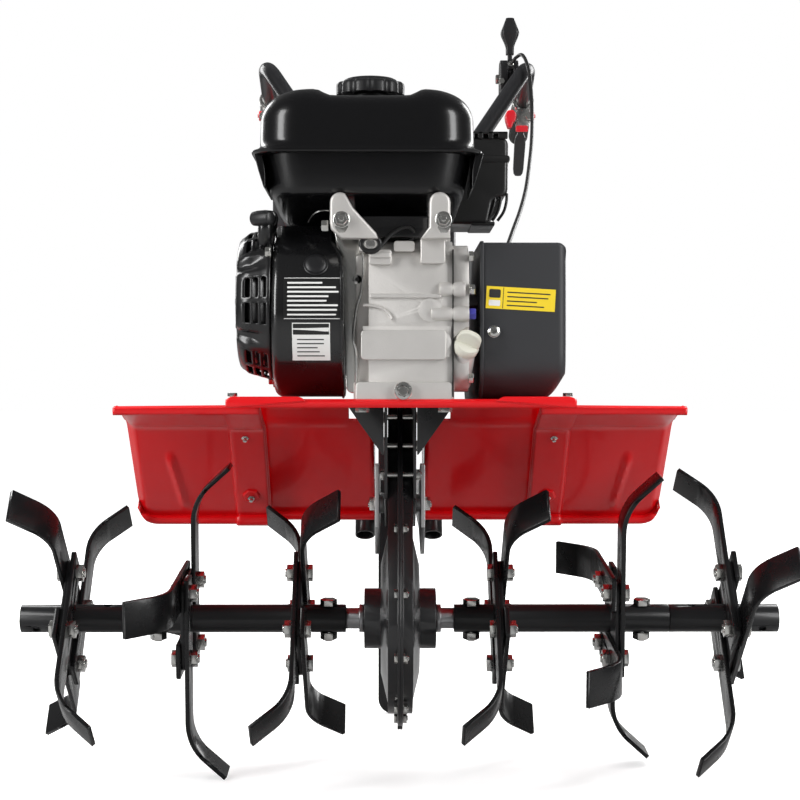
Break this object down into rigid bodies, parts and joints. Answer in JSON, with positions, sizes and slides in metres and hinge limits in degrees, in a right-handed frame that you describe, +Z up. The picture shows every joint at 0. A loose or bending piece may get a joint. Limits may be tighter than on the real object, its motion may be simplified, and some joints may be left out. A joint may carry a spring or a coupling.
{
  "type": "tiller",
  "caption": "Petrol mini tiller: engine on a folded sheet deck over rows of bent tines on a cross axle, with belt and chain drive, drag stake and a pair of handlebars.",
  "frame": {"origin": "middle of the machine's footprint, on the ground", "axes": "+Z up, +Y towards the handlebar, +X to the right seen from the front"},
  "size_m": [0.868, 1.1249, 1.0128],
  "materials": {
    "case_black": "satin black paint",
    "tine_black": "gloss black paint",
    "tube_black": "satin black powder coat",
    "fender_red": "gloss red paint",
    "cover_black": "satin moulded plastic",
    "tank_black": "gloss black paint",
    "shroud_black": "gloss black paint",
    "recoil_black": "gloss moulded plastic",
    "cast_aluminium": "as cast",
    "zinc": "bright zinc plate",
    "plate_steel": "pale grey paint",
    "steel": "turned steel",
    "chain_steel": "oiled steel",
    "iron": "machined cast iron",
    "belt_rubber": "matt",
    "grip_rubber": "matt moulded",
    "lever_plastic": "satin moulded plastic",
    "red_plastic": "gloss moulded plastic",
    "cream_plastic": "moulded plastic",
    "muffler_steel": "heatproof grey paint",
    "guard_black": "satin heatproof paint",
    "cable_black": "smooth cable sheath"
  },
  "bodies": {
    "chassis": {"chain_case_left": "case_black", "chain_case_right": "case_black", "bearings": "steel", "chain": "chain_steel", "engine_bracket": "case_black", "side_plates": "plate_steel", "frame_bolts": "zinc", "fender_deck": "fender_red", "fender_left": "fender_red", "fender_right": "fender_red", "belt_cover": "cover_black", "drive_belt": "belt_rubber", "crankcase": "cast_aluminium", "crankcase_cover": "cast_aluminium", "cylinder_head": "cast_aluminium", "blower_shroud": "shroud_black", "recoil_cover": "recoil_black", "fuel_tank": "tank_black", "tank_stays": "cast_aluminium", "engine_bolts": "zinc", "muffler": "muffler_steel", "muffler_guard": "guard_black", "carburetor": "cast_aluminium", "air_cleaner": "cover_black", "handle_stems": "tube_black", "rear_hitch": "case_black", "idler_spring": "zinc"},
    "tine_rotor": {"axle_shaft": "steel", "axle_sprocket": "steel", "tine_tubes": "tube_black", "tine_extensions": "tube_black", "inner_tines": "tine_black", "middle_tines": "tine_black", "outer_tines": "tine_black", "tine_bolts": "zinc", "tube_bolts": "zinc"},
    "input_train": {"input_shaft": "steel", "driven_pulley": "iron"},
    "crank_train": {"crankshaft": "steel", "flywheel": "iron", "crank_pulley": "iron"},
    "idler": {"idler_arm": "zinc"},
    "idler_wheel": {"idler_pulley": "iron"},
    "handlebar": {"handlebar_left": "tube_black", "handlebar_right": "tube_black", "hand_grips": "grip_rubber", "lever_brackets": "zinc", "knob_housing": "lever_plastic", "clutch_cable": "cable_black"},
    "left_lever": {"squeeze_lever_left": "lever_plastic"},
    "right_lever": {"squeeze_lever_right": "lever_plastic"},
    "left_latch": {"latch_left": "red_plastic"},
    "right_latch": {"latch_right": "red_plastic"},
    "tension_lever": {"knob_lever": "lever_plastic"},
    "filler_cap": {"fuel_cap": "lever_plastic"},
    "oil_dipstick": {"dipstick": "cream_plastic"},
    "starter_grip": {"recoil_grip": "lever_plastic"},
    "choke": {"choke_lever": "lever_plastic"},
    "stake": {"depth_stake": "tube_black"},
    "stake_pin": {"hitch_pin": "zinc"}
  },
  "joints": [
    {"name": "tine_spin", "type": "hinge", "parent": "chassis", "child": "tine_rotor", "pos_m": [0, -0.3602, 0.1779], "axis": [1, 0, 0], "continuous": true},
    {"name": "input_spin", "type": "hinge", "parent": "chassis", "child": "input_train", "pos_m": [0, -0.2302, 0.5039], "axis": [1, 0, 0], "continuous": true},
    {"name": "crank_spin", "type": "hinge", "parent": "chassis", "child": "crank_train", "pos_m": [0, -0.4702, 0.5349], "axis": [1, 0, 0], "continuous": true},
    {"name": "idler_swing", "type": "hinge", "parent": "chassis", "child": "idler", "pos_m": [0, -0.3222, 0.5759], "axis": [1, 0, 0], "range_deg": [-6, 0]},
    {"name": "idler_spin", "type": "hinge", "parent": "idler", "child": "idler_wheel", "pos_m": [0, -0.3496, 0.4971], "axis": [1, 0, 0], "continuous": true},
    {"name": "handlebar_tilt", "type": "hinge", "parent": "chassis", "child": "handlebar", "pos_m": [0, 0.0398, 0.5609], "axis": [1, 0, 0], "range_deg": [-15, 10], "deforming": ["clutch_cable"]},
    {"name": "left_lever_squeeze", "type": "hinge", "parent": "handlebar", "child": "left_lever", "pos_m": [-0.201, 0.4358, 0.8759], "axis": [1, 0, 0], "range_deg": [0, 24], "stiffness_Nm_per_rad": 0.8, "springref_deg": -11.46},
    {"name": "right_lever_squeeze", "type": "hinge", "parent": "handlebar", "child": "right_lever", "pos_m": [0.201, 0.4358, 0.8759], "axis": [1, 0, 0], "range_deg": [0, 24], "stiffness_Nm_per_rad": 0.8, "springref_deg": -11.46},
    {"name": "left_latch_flip", "type": "hinge", "parent": "handlebar", "child": "left_latch", "pos_m": [-0.201, 0.4138, 0.8829], "axis": [1, 0, 0], "range_deg": [-25, 0], "stiffness_Nm_per_rad": 0.1, "springref_deg": 17.19},
    {"name": "right_latch_flip", "type": "hinge", "parent": "handlebar", "child": "right_latch", "pos_m": [0.201, 0.4138, 0.8829], "axis": [1, 0, 0], "range_deg": [-25, 0], "stiffness_Nm_per_rad": 0.1, "springref_deg": 17.19},
    {"name": "tension_lever_tilt", "type": "hinge", "parent": "handlebar", "child": "tension_lever", "pos_m": [0.173, 0.3118, 0.9229], "axis": [1, 0, 0], "range_deg": [-48, 0]},
    {"name": "fuel_cap_turn", "type": "hinge", "parent": "chassis", "child": "filler_cap", "pos_m": [-0.033, -0.4602, 0.7609], "axis": [0, 0, 1], "range_deg": [0, 90]},
    {"name": "dipstick_turn", "type": "hinge", "parent": "chassis", "child": "oil_dipstick", "pos_m": [0.066, -0.5362, 0.4819], "axis": [0.3237, -0.6943, 0.6428], "range_deg": [0, 360]},
    {"name": "starter_pull", "type": "slide", "parent": "chassis", "child": "starter_grip", "axis": [-0.6018, -0.7986, 0], "range_m": [0, 0.4], "stiffness_N_per_m": 12, "springref_m": -0.1},
    {"name": "choke_swing", "type": "hinge", "parent": "chassis", "child": "choke", "pos_m": [-0.04, -0.2472, 0.6519], "axis": [0, 1, 0], "range_deg": [-35, 35]},
    {"name": "stake_slide", "type": "slide", "parent": "chassis", "child": "stake", "axis": [0, 0, 1], "range_m": [-0.04, 0.07]},
    {"name": "stake_pin_pull", "type": "slide", "parent": "chassis", "child": "stake_pin", "axis": [0, 1, 0], "range_m": [0, 0.06]}
  ],
  "couplings": [
    {"joint": "input_spin", "follows": "tine_spin", "ratio": 3},
    {"joint": "idler_swing", "follows": "tension_lever_tilt", "ratio": 0.125}
  ]
}
